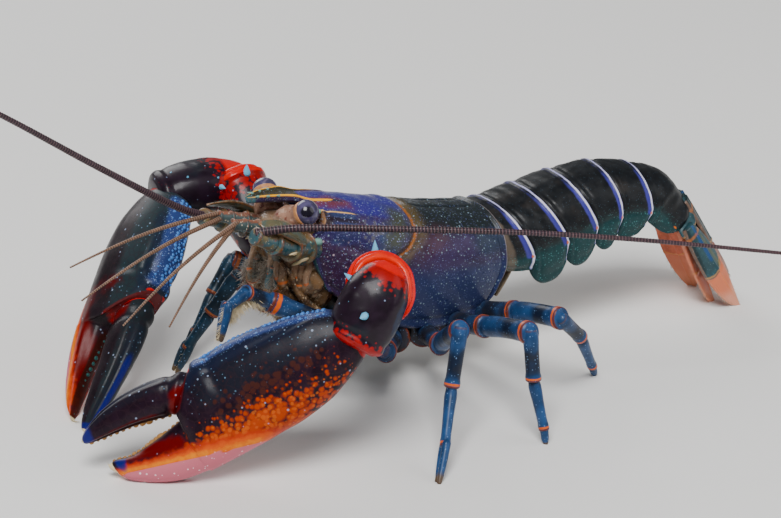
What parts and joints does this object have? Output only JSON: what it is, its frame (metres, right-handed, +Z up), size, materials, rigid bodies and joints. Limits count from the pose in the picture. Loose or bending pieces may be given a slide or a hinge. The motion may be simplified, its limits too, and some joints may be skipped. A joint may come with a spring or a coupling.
{
  "type": "crayfish figure",
  "caption": "Still life-size crayfish, cherax alyciae, blue and black with orange-edged claws held forward, whips out and tail fan down on the floor.",
  "frame": {"origin": "floor point under the middle of the model's bounding box", "axes": "+X from head to tail, -Y the animal's left side, +Z up"},
  "size_m": [0.1956, 0.0918, 0.0902],
  "materials": {
    "shell_head": "satin",
    "shell_thorax": "satin",
    "shell_abdomen": "satin",
    "claw_shell": "gloss",
    "leg_shell": "satin",
    "leg_shell_end": "satin",
    "mouth_shell": "satin",
    "stalk_skin": "satin",
    "eye_cornea": "gloss",
    "feeler_shell": "satin",
    "fan_shell": "satin",
    "fan_soft": "satin",
    "belly_skin": "matte"
  },
  "bodies": {
    "root": {"abdomen_1": "shell_abdomen", "abdomen_2": "shell_abdomen", "abdomen_3": "shell_abdomen", "abdomen_4": "shell_abdomen", "abdomen_5": "shell_abdomen", "abdomen_6": "shell_abdomen", "antenna_left_scale": "fan_shell", "antenna_left_stem": "mouth_shell", "antenna_left_whip_inner": "feeler_shell", "antenna_left_whip_outer": "feeler_shell", "antenna_right_scale": "fan_shell", "antenna_right_stem": "mouth_shell", "antenna_right_whip_inner": "feeler_shell", "antenna_right_whip_outer": "feeler_shell", "antennule_left": "mouth_shell", "antennule_right": "mouth_shell", "carapace_head": "shell_head", "carapace_thorax": "shell_thorax", "claw_left_carpus": "claw_shell", "claw_left_dactyl": "claw_shell", "claw_left_ischium": "leg_shell", "claw_left_merus": "claw_shell", "claw_left_palm": "claw_shell", "claw_right_carpus": "claw_shell", "claw_right_dactyl": "claw_shell", "claw_right_ischium": "leg_shell", "claw_right_merus": "claw_shell", "claw_right_palm": "claw_shell", "eye_left": "eye_cornea", "eye_right": "eye_cornea", "eyestalk_left": "stalk_skin", "eyestalk_right": "stalk_skin", "leg2_left_lower": "leg_shell_end", "leg2_left_upper": "leg_shell", "leg2_right_lower": "leg_shell_end", "leg2_right_upper": "leg_shell", "leg3_left_lower": "leg_shell_end", "leg3_left_upper": "leg_shell", "leg3_right_lower": "leg_shell_end", "leg3_right_upper": "leg_shell", "leg4_left_lower": "leg_shell_end", "leg4_left_upper": "leg_shell", "leg4_right_lower": "leg_shell_end", "leg4_right_upper": "leg_shell", "leg5_left_lower": "leg_shell_end", "leg5_left_upper": "leg_shell", "leg5_right_lower": "leg_shell_end", "leg5_right_upper": "leg_shell", "maxilliped_left": "mouth_shell", "maxilliped_right": "mouth_shell", "mouth_frame": "mouth_shell", "telson": "fan_shell", "underbody": "belly_skin", "uropod_endopod_left": "fan_soft", "uropod_endopod_right": "fan_soft", "uropod_exopod_left": "fan_shell", "uropod_exopod_right": "fan_shell"}
  },
  "joints": []
}
